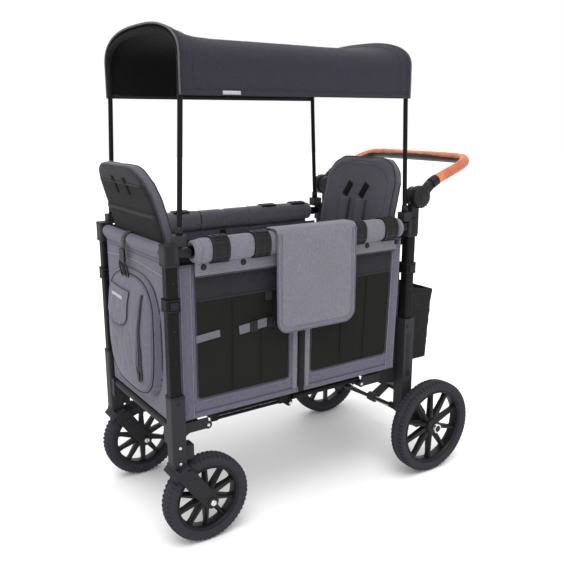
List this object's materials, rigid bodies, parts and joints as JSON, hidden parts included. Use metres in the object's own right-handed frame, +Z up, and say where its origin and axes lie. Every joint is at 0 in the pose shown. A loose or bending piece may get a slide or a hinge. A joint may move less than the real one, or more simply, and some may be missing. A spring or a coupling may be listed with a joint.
{
  "type": "stroller wagon",
  "caption": "Folding four-wheel children's wagon with a fabric tub, facing seats, an arched canopy, swivel front casters and a tilting U-shaped push handle.",
  "frame": {"origin": "centre of the footprint on the floor", "axes": "+X towards the push handle at the rear, +Y to the far side, +Z up"},
  "size_m": [0.9835, 0.572, 1.214],
  "materials": {
    "tube": "satin black powder coat",
    "casting": "fine matte texture",
    "steel": "zinc plated",
    "tyre": "solid foam tyre with a block tread",
    "rim": "moulded spokes",
    "leather": "stitched tan leather",
    "canopy": "dense woven, dark",
    "mesh_fabric": "open black mesh",
    "grey_fabric": "grey melange weave",
    "black_fabric": "black woven lining and webbing"
  },
  "bodies": {
    "rear_frame": {"rear_post_near": "tube", "rear_post_far": "tube", "rear_bracket_near": "casting", "rear_bracket_far": "casting", "rear_leg_near": "casting", "rear_leg_far": "casting", "rear_axle": "steel", "rear_upper_tube": "tube", "rear_floor_support": "casting", "rear_panel": "grey_fabric", "rear_basket": "mesh_fabric", "seat_back_rear": "grey_fabric", "canopy_hoop_rear": "tube", "canopy_fabric": "canopy", "side_wall_near": "mesh_fabric", "side_wall_far": "mesh_fabric", "side_flap": "grey_fabric"},
    "brake": {"brake_pedal": "casting"},
    "handle": {"handle_tube": "tube", "handle_grip": "leather"},
    "button_near": {"handle_button_near": "casting"},
    "button_far": {"handle_button_far": "casting"},
    "upper_rear": {"upper_rail_rear_near": "tube", "upper_rail_rear_far": "tube", "rail_pad_rear_near": "grey_fabric", "rail_pad_rear_far": "grey_fabric"},
    "upper_front": {"upper_rail_front_near": "tube", "upper_rail_front_far": "tube", "rail_pad_front_near": "grey_fabric", "rail_pad_front_far": "grey_fabric"},
    "front_frame": {"front_post_near": "tube", "front_post_far": "tube", "front_bracket_near": "casting", "front_bracket_far": "casting", "caster_housing_near": "casting", "caster_housing_far": "casting", "front_upper_tube": "tube", "front_floor_support": "casting", "front_panel": "grey_fabric", "seat_back_front": "grey_fabric", "canopy_hoop_front": "tube"},
    "floor_rear": {"lower_rail_rear_near": "tube", "lower_rail_rear_far": "tube", "floor_rear": "grey_fabric"},
    "floor_front": {"lower_rail_front_near": "tube", "lower_rail_front_far": "tube", "floor_front": "grey_fabric"},
    "seat_rear": {"seat_base_rear": "grey_fabric"},
    "seat_front": {"seat_base_front": "grey_fabric"},
    "caster_near": {"caster_fork_near": "casting"},
    "caster_far": {"caster_fork_far": "casting"},
    "front_wheel_near": {"front_tyre_near": "tyre", "front_rim_near": "rim"},
    "front_wheel_far": {"front_tyre_far": "tyre", "front_rim_far": "rim"},
    "rear_wheel_near": {"rear_tyre_near": "tyre", "rear_rim_near": "rim"},
    "rear_wheel_far": {"rear_tyre_far": "tyre", "rear_rim_far": "rim"}
  },
  "joints": [
    {"name": "frame_fold", "type": "hinge", "parent": "rear_frame", "child": "upper_rear", "pos_m": [0.22423, 0, 0.72], "axis": [0, -1, 0], "range_deg": [0, 66.5], "deforming": ["side_wall_near", "side_wall_far", "side_flap"]},
    {"name": "rail_knee", "type": "hinge", "parent": "upper_rear", "child": "upper_front", "pos_m": [-0.09577, 0, 0.72], "axis": [0, -1, 0], "range_deg": [-133.5, 0.5]},
    {"name": "front_level", "type": "hinge", "parent": "upper_front", "child": "front_frame", "pos_m": [-0.41577, 0, 0.72], "axis": [0, -1, 0], "range_deg": [-0.5, 67]},
    {"name": "floor_fold", "type": "hinge", "parent": "rear_frame", "child": "floor_rear", "pos_m": [0.11923, 0, 0.286], "axis": [0, 1, 0], "range_deg": [-0.5, 81]},
    {"name": "floor_knee", "type": "hinge", "parent": "floor_rear", "child": "floor_front", "pos_m": [-0.12077, 0, 0.286], "axis": [0, 1, 0], "range_deg": [-162, 0.5]},
    {"name": "seat_fold_rear", "type": "hinge", "parent": "rear_frame", "child": "seat_rear", "pos_m": [0.18423, 0, 0.488], "axis": [0, 1, 0], "range_deg": [-0.5, 90.5]},
    {"name": "seat_fold_front", "type": "hinge", "parent": "front_frame", "child": "seat_front", "pos_m": [-0.37577, 0, 0.488], "axis": [0, -1, 0], "range_deg": [-0.5, 90.5]},
    {"name": "handle_tilt", "type": "hinge", "parent": "rear_frame", "child": "handle", "pos_m": [0.27823, 0, 0.8], "axis": [0, -1, 0], "range_deg": [-70, 50]},
    {"name": "handle_button_near", "type": "slide", "parent": "handle", "child": "button_near", "axis": [0, 1, 0], "range_m": [0, 0.003], "stiffness_N_per_m": 600, "springref_m": -0.001},
    {"name": "handle_button_far", "type": "slide", "parent": "handle", "child": "button_far", "axis": [0, -1, 0], "range_m": [0, 0.003], "stiffness_N_per_m": 600, "springref_m": -0.001},
    {"name": "brake_press", "type": "hinge", "parent": "rear_frame", "child": "brake", "pos_m": [0.32623, 0, 0.135], "axis": [0, 1, 0], "range_deg": [0, 20]},
    {"name": "caster_swivel_near", "type": "hinge", "parent": "front_frame", "child": "caster_near", "pos_m": [-0.45077, -0.2, 0.209], "axis": [0, 0, 1], "continuous": true},
    {"name": "caster_swivel_far", "type": "hinge", "parent": "front_frame", "child": "caster_far", "pos_m": [-0.45077, 0.2, 0.209], "axis": [0, 0, 1], "continuous": true},
    {"name": "front_wheel_spin_near", "type": "hinge", "parent": "caster_near", "child": "front_wheel_near", "pos_m": [-0.38077, -0.2, 0.11], "axis": [0, 1, 0], "continuous": true},
    {"name": "front_wheel_spin_far", "type": "hinge", "parent": "caster_far", "child": "front_wheel_far", "pos_m": [-0.38077, 0.2, 0.11], "axis": [0, 1, 0], "continuous": true},
    {"name": "rear_wheel_spin_near", "type": "hinge", "parent": "rear_frame", "child": "rear_wheel_near", "pos_m": [0.32623, -0.252, 0.135], "axis": [0, 1, 0], "continuous": true},
    {"name": "rear_wheel_spin_far", "type": "hinge", "parent": "rear_frame", "child": "rear_wheel_far", "pos_m": [0.32623, 0.252, 0.135], "axis": [0, 1, 0], "continuous": true}
  ],
  "couplings": [
    {"joint": "rail_knee", "follows": "frame_fold", "ratio": -2},
    {"joint": "front_level", "follows": "frame_fold", "ratio": 1},
    {"joint": "floor_fold", "follows": "frame_fold", "ratio": 1.1829},
    {"joint": "floor_knee", "follows": "frame_fold", "ratio": -2.3657},
    {"joint": "seat_fold_rear", "follows": "frame_fold", "ratio": 1.3235},
    {"joint": "seat_fold_front", "follows": "frame_fold", "ratio": 1.3235}
  ]
}
